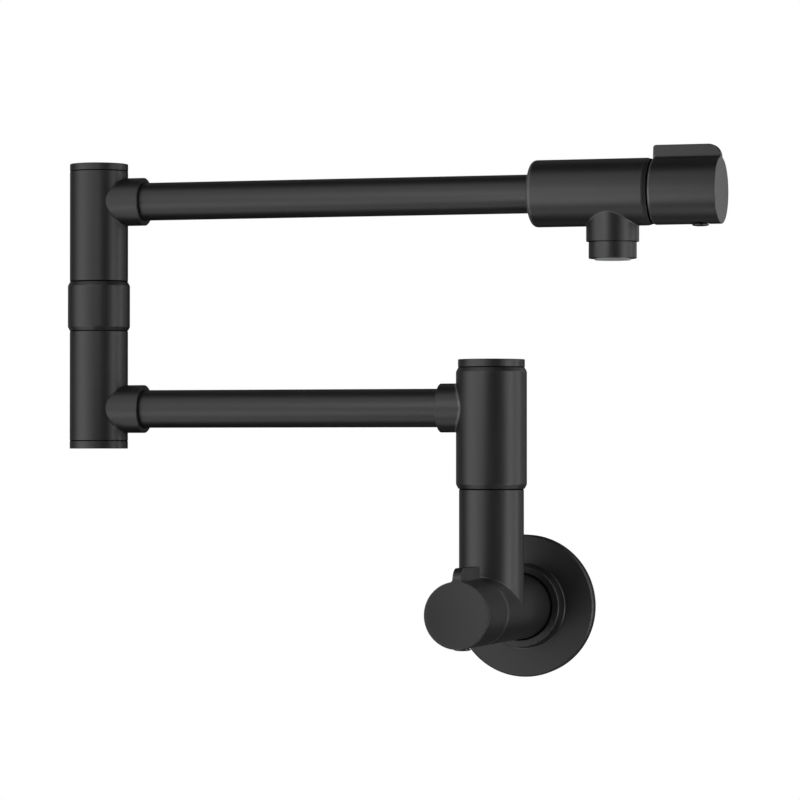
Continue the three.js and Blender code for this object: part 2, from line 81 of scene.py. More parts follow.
# ------------------------------------------------------------------ a mesh builder with exact normals
class Shell:
    """Collects faces as corner positions and corner normals in mm, then welds them into one mesh."""

    def __init__(self):
        self.quads_p, self.quads_n, self.polys, self.slots = [], [], [], []

    def grid(self, p, n, edge=False):
        """p and n are (a, b, 3) arrays: a net of quads. edge puts them in the second material slot, which on black
        pieces holds the painted edge highlight.
        """
        p, n = np.asarray(p, float), np.asarray(n, float)
        q = np.stack([p[:-1, :-1], p[1:, :-1], p[1:, 1:], p[:-1, 1:]], 2).reshape(-1, 4, 3)
        m = np.stack([n[:-1, :-1], n[1:, :-1], n[1:, 1:], n[:-1, 1:]], 2).reshape(-1, 4, 3)
        self.quads_p.append(q)
        self.quads_n.append(m)
        self.slots.append(np.full(len(q), int(edge)))

    def poly(self, p, normal):
        self.polys.append((np.asarray(p, float), np.asarray(normal, float)))

    def build(self, name, turn, move, exact=True):
        """turn is the 3x3 from the local frame to the row frame, move the local origin in mm."""
        turn, move = np.asarray(turn, float), np.asarray(move, float)
        P = np.concatenate(self.quads_p)
        Nn = np.concatenate(self.quads_n)
        slots = list(np.concatenate(self.slots)) + [0] * len(self.polys)
        # every face winds so that it faces along its own normals
        d1, d2 = P[:, 2] - P[:, 0], P[:, 3] - P[:, 1]
        flip = (np.cross(d1, d2) * Nn.sum(1)).sum(1) < 0
        P[flip], Nn[flip] = P[flip][:, ::-1], Nn[flip][:, ::-1]
        corners, normals, sizes = [P.reshape(-1, 3)], [Nn.reshape(-1, 3)], [np.full(len(P), 4)]
        for p, n in self.polys:
            area = np.zeros(3)
            for i in range(len(p)):
                area += np.cross(p[i], p[(i + 1) % len(p)])
            if area @ n < 0:
                p = p[::-1]
            corners.append(p)
            normals.append(np.tile(n, (len(p), 1)))
            sizes.append(np.array([len(p)]))
        corners, normals, sizes = np.concatenate(corners), np.concatenate(normals), np.concatenate(sizes)
        _, first, ids = np.unique(np.round(corners * 1e4 + 0.1373), axis=0, return_index=True, return_inverse=True)
        ids = ids.reshape(-1)
        verts = (corners[first] @ turn.T + move) * 1e-3
        normals = normals @ turn.T
        mirrored = np.linalg.det(turn) < 0
        faces, loops, used, at = [], [], [], 0
        for size, slot in zip(sizes, slots):
            own = list(range(at, at + size))
            at += size
            keep = [c for i, c in enumerate(own) if ids[c] != ids[own[i - 1]]]
            if len(keep) < 3 or len({int(ids[c]) for c in keep}) < 3:
                continue
            if mirrored:
                keep.reverse()
            faces.append([int(ids[c]) for c in keep])
            used.append(slot)
            loops.extend(keep)
        mesh = bpy.data.meshes.new(name)
        mesh.from_pydata(verts.tolist(), [], faces)
        mesh.polygons.foreach_set("use_smooth", np.ones(len(faces), bool))
        mesh.polygons.foreach_set("material_index", np.array(used, np.int32))
        n = normals[loops]
        n /= np.maximum(np.linalg.norm(n, axis=1, keepdims=True), 1e-9)
        mesh.update()
        if exact:
            mesh.normals_split_custom_set(n.tolist())
        ob = bpy.data.objects.new(name, mesh)
        scene.collection.objects.link(ob)
        return ob


def rounded(profile, closed=True, step=12.0):
    """Cuts a profile of (r, z) or (r, z, rounding) corners into smooth pieces: a list of (points, normals).
    The solid lies to the left of a profile drawn anticlockwise, and the normals point away from it."""
    pts = [np.array(p[:2], float) for p in profile]
    rad = [p[2] if len(p) > 2 else 0.0 for p in profile]
    k = len(pts)
    if closed:
        area = sum(pts[i][0] * pts[(i + 1) % k][1] - pts[(i + 1) % k][0] * pts[i][1] for i in range(k))
        if area < 0:
            pts.reverse()
            rad.reverse()
    entry, leave, arcs = [], [], []
    for i in range(k):
        a, v, b = pts[i - 1], pts[i], pts[(i + 1) % k]
        if rad[i] <= 0 or (not closed and i in (0, k - 1)):
            entry.append(v); leave.append(v); arcs.append(None)
            continue
        u1, u2 = (v - a) / np.linalg.norm(v - a), (b - v) / np.linalg.norm(b - v)
        turn = math.atan2(u1[0] * u2[1] - u1[1] * u2[0], u1 @ u2)
        t = rad[i] * abs(math.tan(turn / 2))
        t = min(t, 0.499 * np.linalg.norm(v - a), 0.499 * np.linalg.norm(b - v))
        r = t / abs(math.tan(turn / 2))
        e, l = v - u1 * t, v + u2 * t
        side = 1.0 if turn > 0 else -1.0
        c = e + side * r * np.array([-u1[1], u1[0]])
        count = max(3, int(math.ceil(abs(math.degrees(turn)) / step)))
        p, n = [], []
        for j in range(count + 1):
            s = turn * j / count
            off = e - c
            off = np.array([off[0] * math.cos(s) - off[1] * math.sin(s), off[0] * math.sin(s) + off[1] * math.cos(s)])
            p.append(c + off)
            n.append(side * off / r)
        p[0], p[-1] = e, l
        entry.append(e); leave.append(l); arcs.append((np.array(p), np.array(n)))
    out = []
    for i in range(k if closed else k - 1):
        a, b = leave[i], entry[(i + 1) % k]
        if arcs[i] is not None:
            out.append(arcs[i])
        if np.linalg.norm(b - a) > 1e-6:
            d = (b - a) / np.linalg.norm(b - a)
            nn = np.array([d[1], -d[0]])
            out.append((np.array([a, b]), np.array([nn, nn])))
    return out


def ring_angles(n=AROUND):
    return np.arange(n + 1) * (2 * math.pi / n)


def turn_pieces(shell, pieces, angles):
    """Turns profile pieces about the local z axis."""
    c, s = np.cos(angles), np.sin(angles)
    c[-1], s[-1] = c[0], s[0]
    for p, n in pieces:
        if max(abs(p[:, 0])) < 1e-6:
            continue
        P = np.stack([p[:, 0:1] * c, p[:, 0:1] * s, np.repeat(p[:, 1:2], len(c), 1)], -1)
        Nn = np.stack([n[:, 0:1] * c, n[:, 0:1] * s, np.repeat(n[:, 1:2], len(c), 1)], -1)
        # rounded arcs go in the second slot, the painted edge highlight on black pieces
        shell.grid(P, Nn, edge=len(p) > 2)


def lathe(shell, profile, n=AROUND, closed=True):
    turn_pieces(shell, rounded(profile, closed), ring_angles(n))


# ------------------------------------------------------------------ a tube tee: a branch along +x on a main cylinder about z
def window(shell, radius, zb, h, m, rows, rim, sign):
    """The main cylinder round a branch: the band zb - h to zb + h, with the rim curve cut out of columns -m to m.
    rim is a list of (theta, z). sign is +1 on an outside, -1 on a bore."""
    angles = ring_angles()
    step = 2 * math.pi / AROUND
    z = zb - h + 2 * h * np.arange(rows + 1) / rows

    def put(theta, zz):
        c, s = np.cos(theta), np.sin(theta)
        shell.grid(np.stack([radius * c, radius * s, zz], -1), np.stack([sign * c, sign * s, np.zeros_like(c)], -1))

    outside = angles[m:AROUND - m + 1]
    put(*np.meshgrid(outside, z, indexing="ij"))
    edge = edge_points(zb, h, m, rows, step)
    rim = np.array(rim)
    levels = np.array([0.0, 0.05, 0.3, 0.65, 1.0])
    grid = rim[:, None, :] * (1 - levels)[None, :, None] + edge[:, None, :] * levels[None, :, None]
    grid = np.concatenate([grid, grid[:1]])
    # columns left of the branch are the same ones as at the far end of the outside band
    put(grid[..., 0], grid[..., 1])


def edge_points(zb, h, m, rows, step):
    """The window's rectangle, anticlockwise from the middle of its +theta side."""
    t, out = m * step, []
    half = rows // 2
    dz = 2 * h / rows
    for j in range(half):
        out.append((t, zb + dz * j))
    for j in range(2 * m):
        out.append((t - step * j, zb + h))
    for j in range(rows):
        out.append((-t, zb + h - dz * j))
    for j in range(2 * m):
        out.append((-t + step * j, zb - h))
    for j in range(half):
        out.append((t, zb - h + dz * j))
    return np.array(out)


def branch_angles(m, rows):
    """One angle round the branch for each point of the window's edge."""
    e = edge_points(0.0, 1.0, m, rows, 1.0 / m)
    return np.arctan2(e[:, 1], e[:, 0])


def tee(shell, top, bottom, zb, branch, fillet, m, rows, h_out, h_in):
    """A ring-like main body about z with a branch along +x at height zb. top is the profile from the outside over the upper
    end into the bore, bottom the one from the bore under the lower end to the outside; branch runs from its outside over
    its end into its bore, as (r, x). The straight bands between top and bottom hold the windows."""
    phi = branch_angles(m, rows)
    full = np.append(phi, phi[0])
    cf, sf = np.cos(full), np.sin(full)
    ra, ri = top[0][0], bottom[0][0]
    for chain in ([(ra, zb + h_out)] + top[1:-1] + [(ri, zb + h_in)], [(ri, zb - h_in)] + bottom[1:-1] + [(ra, zb - h_out)]):
        turn_pieces(shell, rounded(chain, closed=False), ring_angles())
    rb, f = branch[0][0], fillet
    # outside: the rim where the fillet leaves the body, the fillet, then the branch
    yc, zc = (rb + f) * np.cos(phi), (rb + f) * np.sin(phi)
    xc = np.sqrt((ra + f) ** 2 - yc**2)
    rim = np.stack([np.arctan2(yc, xc), zc + zb], -1)
    window(shell, ra, zb, h_out, m, rows, rim, 1)
    centre = np.stack([xc, yc, zc], -1)
    on_a = np.stack([ra * np.cos(rim[:, 0]), ra * np.sin(rim[:, 0]), zc], -1)
    on_b = np.stack([xc, rb * np.cos(phi), rb * np.sin(phi)], -1)
    a, b = (on_a - centre) / f, (on_b - centre) / f
    omega = np.arccos(np.clip((a * b).sum(1), -1, 1))[:, None]
    steps = 7
    P, Nn = [], []
    for j in range(steps + 1):
        t = j / steps
        w = (np.sin((1 - t) * omega) * a + np.sin(t * omega) * b) / np.sin(omega)
        P.append(centre + f * w)
        Nn.append(-w)
    P[0], P[-1] = on_a, on_b
    P, Nn = np.array(P), np.array(Nn)
    P[..., 2] += zb
    P, Nn = np.concatenate([P, P[:, :1]], 1), np.concatenate([Nn, Nn[:, :1]], 1)
    # the fillet goes in the second slot, the painted edge highlight on black pieces
    shell.grid(P, Nn, edge=True)
    pieces = rounded(branch, closed=False)
    # the first and last straight lengths meet the curves of the crossing
    x_first, x_last = pieces[0][0][1][1], pieces[-1][0][0][1]
    for curve, radius, x_end, sign, levels in (
        (np.append(xc, xc[0]), rb, x_first, 1, (0.0, 0.06, 0.5, 1.0)),
        (None, branch[-1][0], x_last, -1, (0.0, 1.0)),
    ):
        if curve is None:
            y = radius * cf
            curve = np.sqrt(ri**2 - y**2)
        P = [np.stack([curve * (1 - t) + x_end * t, radius * cf, radius * sf + zb], -1) for t in levels]
        P = np.array(P)
        P[:, -1] = P[:, 0]
        shell.grid(P, np.stack([np.stack([0 * cf, sign * cf, sign * sf], -1)] * len(levels)))
    for p, n in pieces[1:-1]:
        P = np.stack([np.repeat(p[:, 1:2], len(cf), 1), p[:, 0:1] * cf, p[:, 0:1] * sf + zb], -1)
        P[:, -1] = P[:, 0]
        shell.grid(P, np.stack([np.repeat(n[:, 1:2], len(cf), 1), n[:, 0:1] * cf, n[:, 0:1] * sf], -1), edge=len(p) > 2)
    # inside: the bores cross without a fillet
    rbi = branch[-1][0]
    y, z = rbi * np.cos(phi), rbi * np.sin(phi)
    window(shell, ri, zb, h_in, m, rows, np.stack([np.arctan2(y, np.sqrt(ri**2 - y**2)), z + zb], -1), -1)


# ------------------------------------------------------------------ places: local frame to row frame
I3 = np.eye(3)
WALL = np.array([[1, 0, 0], [0, 0, -1], [0, 1, 0]], float)  # local z out of the wall, local y up
ALONG = np.array([[0, 0, 1], [1, 0, 0], [0, 1, 0]], float)  # local z along +X, local y up
SHOULDER = (0, -COLUMN_Y, 0)
ELBOW = (-LOWER_ARM, -COLUMN_Y, 0)
SPOUT = (-LOWER_ARM, -COLUMN_Y, UPPER_Z)
made = []


def add(ob, body, node, material, kind=None):
    index = np.empty(len(ob.data.polygons), np.int32)
    ob.data.polygons.foreach_get("material_index", index)  # clearing the slots resets these
    ob.data.materials.clear()
    ob.data.materials.append(material)
    # on black pieces slot 1 holds the painted edge highlight and slot 2 the brighter painted glint
    ob.data.materials.append(BLACK_EDGE_HIGHLIGHT if material is BLACK else material)
    ob.data.materials.append(BLACK_PAINTED_GLINT if material is BLACK else material)
    ob.data.polygons.foreach_set("material_index", index)
    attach(ob, body)
    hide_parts(node)
    made.append(ob)
    return ob


def paint_shade_and_glint(ob, turn, move, radius, height, material=None):
    """Paints a band of faces, picked by radius and height in the piece's own frame: by default with a near-black
    painted shade for the bottom of a joint gap, or with the material given, such as the painted glint."""
    mesh = ob.data
    n = len(mesh.polygons)
    c, index = np.empty(n * 3), np.empty(n, np.int32)
    mesh.polygons.foreach_get("center", c)
    mesh.polygons.foreach_get("material_index", index)
    local = (c.reshape(-1, 3) * 1e3 - np.asarray(move)) @ np.asarray(turn)
    r = np.hypot(local[:, 0], local[:, 1])
    index[(r > radius[0]) & (r < radius[1]) & (local[:, 2] > height[0]) & (local[:, 2] < height[1])] = len(mesh.materials)
    mesh.materials.append(material or GAP_PAINTED_SHADE)
    mesh.polygons.foreach_set("material_index", index)
    return ob


def simple(name, profile, turn, move, body, node, material, n=AROUND):
    s = Shell()
    lathe(s, profile, n)
    return add(s.build(name, turn, move), body, node, material)


# ------------------------------------------------------------------ materials
def new_material(name):
    m = bpy.data.materials.new(name)
    m.use_nodes = True
    t = m.node_tree
    b = t.nodes["Principled BSDF"]
    coord = t.nodes.new("ShaderNodeTexCoord")
    return m, t, b, coord


def noise(t, coord, scale, detail=3.0, rough=0.5, stretch=None):
    n = t.nodes.new("ShaderNodeTexNoise")
    n.inputs["Scale"].default_value = scale
    n.inputs["Detail"].default_value = detail
    n.inputs["Roughness"].default_value = rough
    source = coord.outputs["Object"]
    if stretch:
        mp = t.nodes.new("ShaderNodeMapping")
        mp.inputs["Scale"].default_value = stretch
        t.links.new(source, mp.inputs["Vector"])
        source = mp.outputs["Vector"]
    t.links.new(source, n.inputs["Vector"])
    return n


def ramp(t, source, low, high, start=0.3, end=0.7):
    r = t.nodes.new("ShaderNodeMapRange")
    r.inputs["From Min"].default_value = start
    r.inputs["From Max"].default_value = end
    r.inputs["To Min"].default_value = low
    r.inputs["To Max"].default_value = high
    t.links.new(source, r.inputs["Value"])
    return r.outputs["Result"]


def mix_colour(t, fac, a, b):
    x = t.nodes.new("ShaderNodeMix")
    x.data_type = "RGBA"
    x.inputs["A"].default_value = (*a, 1)
    x.inputs["B"].default_value = (*b, 1)
    t.links.new(fac, x.inputs["Factor"])
    return x.outputs["Result"]


def bump(t, height, strength, distance, under=None):
    b = t.nodes.new("ShaderNodeBump")
    b.inputs["Strength"].default_value = strength
    b.inputs["Distance"].default_value = distance
    t.links.new(height, b.inputs["Height"])
    if under is not None:
        t.links.new(under, b.inputs["Normal"])
    return b.outputs["Normal"]


def powder_coat(name, rough, strength, tone=1.0):
    """Matt black powder coat: a fine even grain over a faint orange peel, a little uneven in sheen. tone above 1
    lightens the colour as a painted highlight.
    """
    m, t, b, coord = new_material(name)
    grain = noise(t, coord, 5200.0, 2.0, 0.55)
    peel = noise(t, coord, 900.0, 2.0, 0.5)
    cloud = noise(t, coord, 38.0, 3.0, 0.5)
    t.links.new(mix_colour(t, ramp(t, cloud.outputs["Fac"], 0.0, 1.0), (0.0085 * tone, 0.0085 * tone, 0.0088 * tone), (0.0112 * tone, 0.0112 * tone, 0.0115 * tone)), b.inputs["Base Color"])
    add1 = t.nodes.new("ShaderNodeMath")
    add1.operation = "ADD"
    t.links.new(ramp(t, cloud.outputs["Fac"], -0.012, 0.012), add1.inputs[0])
    t.links.new(ramp(t, grain.outputs["Fac"], rough - 0.03, rough + 0.03), add1.inputs[1])
    t.links.new(add1.outputs[0], b.inputs["Roughness"])
    n1 = bump(t, peel.outputs["Fac"], 0.5 * strength, 0.00006)
    t.links.new(bump(t, grain.outputs["Fac"], strength, 0.00003, n1), b.inputs["Normal"])
    b.inputs["Specular IOR Level"].default_value = 0.5
    return m


def machined(name, light, dark, rough, metallic=1.0):
    """Turned bare metal: fine tool marks and a slightly uneven tone."""
    m, t, b, coord = new_material(name)
    marks = noise(t, coord, 1800.0, 3.0, 0.6, (0.35, 0.35, 1.0))
    tone = noise(t, coord, 120.0, 3.0)
    t.links.new(mix_colour(t, ramp(t, tone.outputs["Fac"], 0.0, 1.0), light, dark), b.inputs["Base Color"])
    t.links.new(ramp(t, marks.outputs["Fac"], rough - 0.07, rough + 0.09), b.inputs["Roughness"])
    t.links.new(bump(t, marks.outputs["Fac"], 0.18, 0.00004), b.inputs["Normal"])
    b.inputs["Metallic"].default_value = metallic
    return m


def moulded(name, light, dark, rough, scale=1500.0, strength=0.15, distance=0.00004, spread=0.06):
    """Rubber, plastic or ceramic: a fine surface with a slightly uneven tone."""
    m, t, b, coord = new_material(name)
    fine = noise(t, coord, scale, 3.0, 0.55)
    tone = noise(t, coord, 160.0, 2.0)
    t.links.new(mix_colour(t, ramp(t, tone.outputs["Fac"], 0.0, 1.0), light, dark), b.inputs["Base Color"])
    t.links.new(ramp(t, fine.outputs["Fac"], rough - spread, rough + spread), b.inputs["Roughness"])
    t.links.new(bump(t, fine.outputs["Fac"], strength, distance), b.inputs["Normal"])
    return m


def foam(name):
    m, t, b, coord = new_material(name)
    cells = t.nodes.new("ShaderNodeTexVoronoi")
    cells.inputs["Scale"].default_value = 1900.0
    t.links.new(coord.outputs["Object"], cells.inputs["Vector"])
    tone = noise(t, coord, 300.0, 3.0)
    t.links.new(mix_colour(t, ramp(t, cells.outputs["Distance"], 0.0, 1.0, 0.0, 0.8), (0.006, 0.006, 0.006), (0.022, 0.022, 0.022)), b.inputs["Base Color"])
    t.links.new(ramp(t, tone.outputs["Fac"], 0.86, 0.96), b.inputs["Roughness"])
    t.links.new(bump(t, cells.outputs["Distance"], 0.5, 0.0002), b.inputs["Normal"])
    return m


BLACK = powder_coat("black_powder_coat", 0.38, 0.10)
BLACK_EDGE_HIGHLIGHT = powder_coat("black_powder_coat_edge_painted_highlight", 0.30, 0.05, 1.6)  # the coat on edges is smoother, and its colour is lightened 1.6 times as a painted highlight
BLACK_PAINTED_GLINT = powder_coat("black_powder_coat_painted_glint", 0.27, 0.05, 6.0)  # a brighter painted glint on chosen rims: colour lightened 6 times, and a smoother coat
BRASS = machined("turned_brass", (0.66, 0.44, 0.17), (0.56, 0.36, 0.13), 0.30)
STEEL = machined("stainless_steel", (0.56, 0.56, 0.57), (0.47, 0.47, 0.48), 0.28)
RUBBER = moulded("nitrile_rubber", (0.014, 0.014, 0.014), (0.021, 0.021, 0.020), 0.72)
# near-black, barely reflecting coat: painted shade for the bottom of joint gaps
GAP_PAINTED_SHADE = moulded("painted_gap_shade", (0.0016, 0.0016, 0.0016), (0.0032, 0.0032, 0.0031), 0.85)
GAP_PAINTED_SHADE.node_tree.nodes["Principled BSDF"].inputs["Specular IOR Level"].default_value = 0.04
ACETAL = moulded("acetal", (0.77, 0.75, 0.70), (0.70, 0.68, 0.63), 0.42)
CERAMIC = moulded("alumina", (0.86, 0.85, 0.82), (0.81, 0.80, 0.77), 0.20, 2600.0, 0.05, 0.00002, 0.04)
GREY = moulded("grey_plastic", (0.27, 0.275, 0.28), (0.235, 0.24, 0.245), 0.45, 1800.0, 0.12, 0.00003)
FOAM = foam("gasket_foam")
SLOT_MATERIAL = {"black_coat": BLACK, "brass": BRASS, "steel": STEEL, "rubber": RUBBER, "acetal": ACETAL, "ceramic": CERAMIC, "grey_plastic": GREY}

for row in frame["record"]["subparts"]:
    o = nodes[row["node"]]
    o.data.materials.clear()
    o.data.materials.append(SLOT_MATERIAL[row["material_slot"]])

# ------------------------------------------------------------------ wall side
simple("wall_flange_turned", [
    (17.3, 1.0), (21.6, 1.0, 0.3), (21.6, 4.6), (33.7, 4.6), (33.7, 0.0, 0.2), (36.45, 0.0, 0.2),
    (36.7, 5.85, 0.3), (35.95, 6.6, 0.3), (21.6, 6.6, 0.8), (21.0, 16.1, 0.15), (20.7, 16.45, 0.12), (17.6, 16.45, 0.15), (17.3, 16.1, 0.15),
    (17.3, 13.0), (18.9, 13.0), (18.9, 10.3), (17.3, 10.3),
], WALL, (0, 0, 0), "wall_valve", "wall_flange", BLACK, 192)
simple("flange_o_ring_moulded", [(16.56, 10.47, 1.17), (18.9, 10.47, 1.17), (18.9, 12.83, 1.17), (16.56, 12.83, 1.17)], WALL, (0, 0, 0), "wall_valve", "flange_o_ring", RUBBER)
simple("flange_gasket_foam", [(22.4, 0.0, 0.5), (33.2, 0.0, 0.5), (33.2, 4.3, 0.5), (22.4, 4.3, 0.5)], WALL, (0, 0, 0), "wall_valve", "flange_gasket", FOAM)


def threaded_nipple():
    """Half-inch inlet: a real helical pipe thread on the part that goes into the wall, a plain shank to the valve."""
    s = Shell()
    pitch, crest, depth = 1.814, 10.45, 1.162
    z0, z1, n = -24.0, -3.6, 96
    rows = int(round((z1 - z0) / (pitch / 12)))
    z = np.linspace(z0, z1, rows + 1)[:, None]
    a = ring_angles(n)[None, :]

    def radius(zz, aa):
        x = np.mod(zz / pitch - aa / (2 * math.pi), 1.0)
        tri = 1 - np.abs(2 * x - 1)
        shape = np.clip((tri - 0.10) / 0.80, 0, 1)
        shape = shape * shape * (3 - 2 * shape) * 0.35 + shape * 0.65
        fade = np.clip((z1 - zz) / 3.2, 0, 1)
        lead = np.clip((zz - z0) / 1.1, 0, 1)
        r = crest - depth * shape * fade
        return np.minimum(r, crest - 0.95 * (1 - lead))

    r = radius(z, a)
    e = 1e-3
    dz = (radius(z + e, a) - radius(z - e, a)) / (2 * e)
    da = (radius(z, a + e) - radius(z, a - e)) / (2 * e)
    c, sn = np.cos(a) + 0 * z, np.sin(a) + 0 * z
    nx, ny = c + da / r * sn, sn - da / r * c
    P = np.stack([r * c, r * sn, z + 0 * a], -1)
    Nn = np.stack([nx, ny, -dz], -1)
    P[:, -1], Nn[:, -1] = P[:, 0], Nn[:, 0]
    s.grid(P, Nn)
    top = P[-1]
    shank = np.stack([np.stack([crest * c[0], crest * sn[0], np.full(n + 1, zz)], -1) for zz in (z1, 15.3)])
    shank[0] = top
    shank[:, -1] = shank[:, 0]
    s.grid(shank, np.stack([np.stack([c[0], sn[0], 0 * c[0]], -1)] * 2))
    for zz, edge, nz in ((z0, P[0], -1.0), (15.3, shank[1], 1.0)):
        bore = np.stack([7.2 * c[0], 7.2 * sn[0], np.full(n + 1, zz)], -1)
        bore[-1] = bore[0]
        s.grid(np.stack([bore, edge]), np.tile([0, 0, nz], (2, n + 1, 1)))
    inner = np.stack([np.stack([7.2 * c[0], 7.2 * sn[0], np.full(n + 1, zz)], -1) for zz in (z0, 15.3)])
    inner[:, -1] = inner[:, 0]
    s.grid(inner, np.stack([np.stack([-c[0], -sn[0], 0 * c[0]], -1)] * 2))
    return add(s.build("inlet_nipple_threaded", WALL, (0, 0, 0)), "wall_valve", "inlet_nipple", BRASS)


threaded_nipple()

# valve body: a barrel out of the wall with the riser up from it. Local z out of the wall, local x up.
OUT_UP = np.array([[0, -1, 0], [0, 0, -1], [1, 0, 0]], float)
shell = Shell()
tee(
    shell,
    top=[(16.55, 0), (16.55, 96.0, 0.3), (14.2, 96.0, 0.15), (14.2, 90.5), (12.35, 90.5), (12.35, 83.85), (11.2, 83.85), (11.2, 0)],
    bottom=[(11.2, 0), (11.2, 62.8), (6.5, 62.8), (6.5, 17.4), (10.75, 17.4), (10.75, 1.5), (16.55, 1.5, 0.3), (16.55, 0)],
    zb=COLUMN_Y,
    branch=[(16.22, 18.0), (16.22, 60.3, 0.1), (10.35, 60.3), (10.35, 46.6), (6.3, 46.6), (6.3, 14.0)],
    fillet=0.8, m=36, rows=56, h_out=18.6, h_in=6.41,
)
add(shell.build("valve_body_cast", OUT_UP, (0, 0, 0)), "wall_valve", "valve_body", BLACK)

# ------------------------------------------------------------------ shoulder
# local x to the left, towards the elbow
LEFT = np.array([[-1, 0, 0], [0, -1, 0], [0, 0, 1]], float)
shell = Shell()
tee(
    shell,
    top=[(17.74, 0), (17.74, 119.35, 0.8), (16.73, 121.35, 0.1), (15.2, 121.35), (15.2, 116.9), (9.8, 116.9), (9.8, 110.2), (12.6, 110.2), (12.6, 0)],
    bottom=[(12.6, 0), (12.6, 92.5), (9.8, 92.5), (9.8, 62.6), (14.6, 62.6), (14.6, 60.32), (16.1, 60.32), (16.1, 60.95), (16.64, 60.95, 0.1), (17.74, 63.15, 0.8), (17.74, 0)],
    zb=LOWER_Z,
    branch=[(12.3, 19.5), (12.3, 26.35, 0.4), (9.85, 26.35, 0.1), (9.85, 13.6), (7.2, 13.6), (7.2, 12.0)],
    fillet=0.95, m=22, rows=44, h_out=15.0, h_in=8.2,
)
# painted shade at the bottom of the joint gap under the hub
paint_shade_and_glint(add(shell.build("shoulder_hub_body", LEFT, SHOULDER), "lower_arm", "shoulder_hub", BLACK), LEFT, SHOULDER, (15.8, 16.2), (60.3, 61.0))
# a painted glint on the saddle fillet where the collar meets the hub
paint_shade_and_glint(made[-1], LEFT, SHOULDER, (17.77, 18.6), (LOWER_Z - 14, LOWER_Z + 14), BLACK_PAINTED_GLINT)
# painted shade in the joint gap under the cap's rim
paint_shade_and_glint(simple("shoulder_cap_turned", [
    (0.0, 123.4), (13.9, 123.4), (13.9, 118.4), (15.0, 118.4), (15.0, 121.36), (16.55, 121.36), (16.55, 121.85), (16.73, 121.85, 0.08), (16.73, 125.6, 0.35), (0.0, 125.6),
], I3, SHOULDER, "lower_arm", "shoulder_cap", BLACK), I3, SHOULDER, (16.3, 16.65), (121.3, 121.9))

# ------------------------------------------------------------------ arm tubes
def arm_tube(name, x0, x1, z, body, node):
    s = Shell()
    lathe(s, [(8.2, x0, 0.15), (9.69, x0, 0.25), (9.69, x1, 0.25), (8.2, x1, 0.15)], 96)
    return add(s.build(name, ALONG, (0, -COLUMN_Y, z)), body, node, BLACK)


arm_tube("lower_arm_tube_drawn", -LOWER_ARM + 13.8, -13.8, LOWER_Z, "lower_arm", "lower_arm_tube")
arm_tube("upper_arm_tube_drawn", -LOWER_ARM + 13.8, -LOWER_ARM + 247.1, UPPER_Z, "upper_arm", "upper_arm_tube")

# ------------------------------------------------------------------ elbow
COLLAR_END = [(12.3, 17.0), (12.3, 25.35, 0.4), (9.85, 25.35, 0.1), (9.85, 13.6)]
shell = Shell()
tee(
    shell,
    top=[(14.98, 0), (14.98, 141.3, 0.08), (10.35, 141.3), (10.35, 124.5), (6.5, 124.5), (6.5, 111.8), (10.8, 111.8), (10.8, 0)],
    bottom=[(10.8, 0), (10.8, 91.6), (12.1, 91.6), (12.1, 85.3), (14.98, 85.3, 0.08), (14.98, 0)],
    zb=LOWER_Z,
    branch=COLLAR_END + [(7.2, 13.6), (7.2, 12.0)],
    fillet=0.9, m=26, rows=48, h_out=14.6, h_in=8.2,
)
add(shell.build("elbow_lower_fitting_body", I3, ELBOW), "lower_arm", "elbow_lower_fitting", BLACK)
shell = Shell()
tee(
    shell,
    top=[(14.98, 0), (14.98, 223.8, 0.08), (13.1, 223.8), (13.1, 218.7), (9.0, 218.7), (9.0, 215.0), (11.6, 215.0), (11.6, 0)],
    bottom=[(11.6, 0), (11.6, 198.5), (9.0, 198.5), (9.0, 161.9), (13.1, 161.9), (13.1, 166.83), (14.8, 166.83), (14.8, 167.45), (14.98, 167.45, 0.08), (14.98, 0)],
    zb=UPPER_Z,
    branch=COLLAR_END + [(6.6, 13.6), (6.6, 12.0)],
    fillet=0.9, m=26, rows=48, h_out=14.6, h_in=6.9,
)
# painted shade at the bottom of the joint gap, here and on the three pieces below
paint_shade_and_glint(add(shell.build("elbow_upper_fitting_body", I3, ELBOW), "upper_arm", "elbow_upper_fitting", BLACK), I3, ELBOW, (14.6, 14.9), (166.8, 167.5))
paint_shade_and_glint(simple("elbow_bottom_cap_turned", [
    (0.0, 80.96), (14.98, 80.96, 0.35), (14.98, 84.8, 0.08), (14.8, 84.8), (14.8, 85.29), (11.85, 85.29), (11.85, 91.0), (9.5, 91.0), (9.5, 83.6), (0.0, 83.6),
], I3, ELBOW, "lower_arm", "elbow_bottom_cap", BLACK), I3, ELBOW, (14.6, 14.9), (84.75, 85.35))
paint_shade_and_glint(simple("elbow_sleeve_turned", [
    (10.5, 141.31), (14.8, 141.31), (14.8, 141.8), (14.98, 141.8, 0.1), (15.98, 143.7, 0.8), (15.98, 164.8, 0.8), (14.98, 166.8, 0.1), (13.45, 166.8), (13.45, 159.8), (10.5, 159.8),
], I3, ELBOW, "lower_arm", "elbow_sleeve", BLACK), I3, ELBOW, (14.6, 14.9), (141.25, 141.85))
paint_shade_and_glint(simple("elbow_top_cap_turned", [
    (0.0, 225.6), (11.85, 225.6), (11.85, 220.0), (12.85, 220.0), (12.85, 223.81), (14.8, 223.81), (14.8, 224.3), (14.98, 224.3, 0.08), (14.98, 227.75, 0.35), (0.0, 227.75),
], I3, ELBOW, "upper_arm", "elbow_top_cap", BLACK), I3, ELBOW, (14.6, 14.9), (223.75, 224.35))

